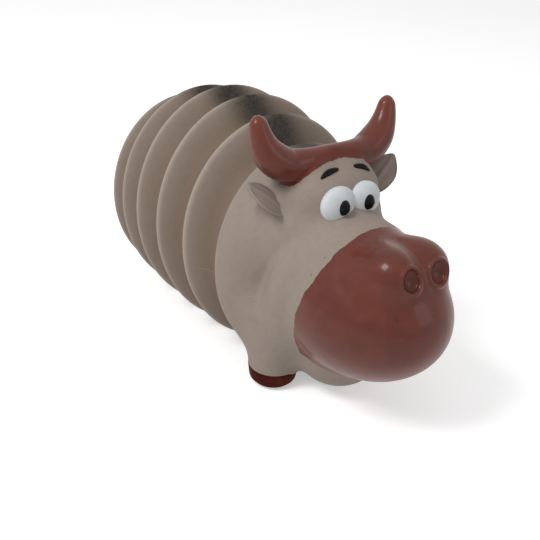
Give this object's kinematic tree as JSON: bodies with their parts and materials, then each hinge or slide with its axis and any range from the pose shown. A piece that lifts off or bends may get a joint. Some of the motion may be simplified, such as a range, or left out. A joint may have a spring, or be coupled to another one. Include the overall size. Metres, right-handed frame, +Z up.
{
  "type": "squeaky dog toy",
  "caption": "Hollow soft rubber dog toy shaped as a cartoon ox with a concertina body that squeezes and bends, and a squeaker in the rump.",
  "frame": {"origin": "middle of the bounding box on the surface that the toy stands on", "axes": "+Z up, -Y the way the head looks, +X to the toy's left"},
  "size_m": [0.0894, 0.186, 0.1091],
  "materials": {
    "latex_beige": "matte",
    "paint_brown": "satin",
    "paint_white": "matte",
    "paint_black": "gloss",
    "squeaker_plastic": "matte",
    "reed_brass": "satin"
  },
  "bodies": {
    "head": {"front_shell": "latex_beige", "front_leg_left": "latex_beige", "front_leg_right": "latex_beige", "ear_left": "latex_beige", "ear_right": "latex_beige", "muzzle_shell": "paint_brown", "horn_band": "paint_brown", "front_hoof_left": "paint_brown", "front_hoof_right": "paint_brown", "eye_white_left": "paint_white", "eye_white_right": "paint_white", "pupil_left": "paint_black", "pupil_right": "paint_black", "brow_left": "paint_black", "brow_right": "paint_black"},
    "fold_1": {"fold_1": "latex_beige"},
    "fold_2": {"fold_2": "latex_beige"},
    "fold_3": {"fold_3": "latex_beige"},
    "fold_4": {"fold_4": "latex_beige"},
    "fold_5": {"fold_5": "latex_beige"},
    "rump": {"rump_shell": "latex_beige", "tail": "latex_beige", "squeaker_cup": "squeaker_plastic", "squeaker_lid": "squeaker_plastic", "reed_seat": "squeaker_plastic", "reed": "reed_brass"}
  },
  "joints": [
    {"name": "squeeze_shoulder", "type": "slide", "parent": "head", "child": "fold_1", "axis": [0, -0.9949, 0.1011], "range_m": [-0.0015, 0.005], "stiffness_N_per_m": 600, "deforming": ["fold_1"]},
    {"name": "squeeze_front", "type": "slide", "parent": "fold_1", "child": "fold_2", "axis": [0, -0.9949, 0.1011], "range_m": [-0.0015, 0.005], "stiffness_N_per_m": 600, "deforming": ["fold_2"]},
    {"name": "bend_sideways", "type": "hinge", "parent": "fold_2", "child": "fold_3", "pos_m": [0, 0.02788, 0.04924], "axis": [0, 0.1011, 0.9949], "range_deg": [-10, 10], "stiffness_Nm_per_rad": 2, "deforming": ["fold_3"]},
    {"name": "bend_up_down", "type": "hinge", "parent": "fold_3", "child": "fold_4", "pos_m": [0, 0.04562, 0.04768], "axis": [1, 0, 0], "range_deg": [-8, 8], "stiffness_Nm_per_rad": 2, "deforming": ["fold_4"]},
    {"name": "squeeze_rear", "type": "slide", "parent": "fold_4", "child": "fold_5", "axis": [0, -0.9949, 0.1011], "range_m": [-0.0015, 0.005], "stiffness_N_per_m": 600, "deforming": ["fold_5"]},
    {"name": "squeeze_rump", "type": "slide", "parent": "fold_5", "child": "rump", "axis": [0, -0.9949, 0.1011], "range_m": [-0.0015, 0.005], "stiffness_N_per_m": 600}
  ],
  "couplings": [
    {"joint": "squeeze_front", "follows": "squeeze_shoulder", "ratio": 1},
    {"joint": "squeeze_rear", "follows": "squeeze_shoulder", "ratio": 1},
    {"joint": "squeeze_rump", "follows": "squeeze_shoulder", "ratio": 1}
  ]
}
